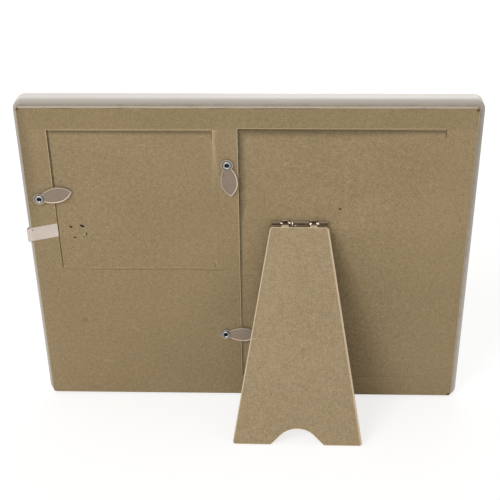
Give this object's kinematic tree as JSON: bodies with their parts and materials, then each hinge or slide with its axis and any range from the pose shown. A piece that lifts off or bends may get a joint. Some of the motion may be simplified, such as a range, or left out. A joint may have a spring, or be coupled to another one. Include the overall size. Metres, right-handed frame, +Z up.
{
  "type": "easel back photo frame",
  "caption": "Landscape photo frame with a rounded moulding, glazed windows, a backboard with hinged doors held by turn buttons, and a fold-out easel strut.",
  "frame": {"origin": "centre of the bounding box's bottom, on the surface that the frame stands on, with the strut open", "axes": "+Z up, +X to the right as the back is seen, -Y out of the back towards the strut's foot; the windows face +Y and a little up"},
  "size_m": [0.238, 0.0748, 0.183],
  "materials": {
    "off_white_paint": "smooth satin off-white paint over a rounded moulding",
    "brown_board": "matt brown fibreboard with a fine fibrous surface",
    "clear_glass": "clear picture glass with ground edges",
    "blank_paper": "blank matt paper",
    "grey_card": "plain grey card",
    "translucent_plastic": "translucent moulded plastic with a raised rim",
    "bright_eyelet": "bright rolled metal",
    "bronzed_metal": "dark bronzed plating, worn bright on the edges",
    "white_tape": "off-white paper tape"
  },
  "bodies": {
    "frame": {"moulding": "off_white_paint", "small_glass": "clear_glass", "large_glass": "clear_glass", "small_photo_insert": "blank_paper", "large_photo_insert": "blank_paper", "small_backing_card": "grey_card", "large_backing_card": "grey_card", "backboard": "brown_board", "eyelet_left": "bright_eyelet", "eyelet_upper": "bright_eyelet", "eyelet_lower": "bright_eyelet", "edge_tape": "white_tape"},
    "small_door": {"small_door": "brown_board"},
    "large_door": {"large_door": "brown_board", "hinge_door_leaf": "bronzed_metal", "hinge_pin": "bronzed_metal"},
    "strut": {"strut": "brown_board", "hinge_strut_leaf": "bronzed_metal"},
    "turn_button_left": {"turn_button_left": "translucent_plastic"},
    "turn_button_upper": {"turn_button_upper": "translucent_plastic"},
    "turn_button_lower": {"turn_button_lower": "translucent_plastic"}
  },
  "joints": [
    {"name": "small_door_crease", "type": "hinge", "parent": "frame", "child": "small_door", "pos_m": [-0.01719, 0.00277, 0.08541], "axis": [0, -0.2436, 0.9699], "range_deg": [0, 110]},
    {"name": "large_door_crease", "type": "hinge", "parent": "frame", "child": "large_door", "pos_m": [0.10041, 0.02052, 0.01471], "axis": [0, -0.2436, 0.9699], "range_deg": [0, 110]},
    {"name": "strut_hinge", "type": "hinge", "parent": "large_door", "child": "strut", "pos_m": [0.0275, -0.00505, 0.11335], "axis": [-1, 0.0084, 0.0021], "range_deg": [-28.1, 0]},
    {"name": "turn_button_left_pivot", "type": "hinge", "parent": "frame", "child": "turn_button_left", "pos_m": [-0.10869, -0.00778, 0.12741], "axis": [0, -0.9699, -0.2436], "continuous": true},
    {"name": "turn_button_upper_pivot", "type": "hinge", "parent": "frame", "child": "turn_button_upper", "pos_m": [-0.00989, -0.0127, 0.147], "axis": [0, -0.9699, -0.2436], "continuous": true},
    {"name": "turn_button_lower_pivot", "type": "hinge", "parent": "frame", "child": "turn_button_lower", "pos_m": [-0.01299, 0.01324, 0.04371], "axis": [0, -0.9699, -0.2436], "continuous": true}
  ]
}
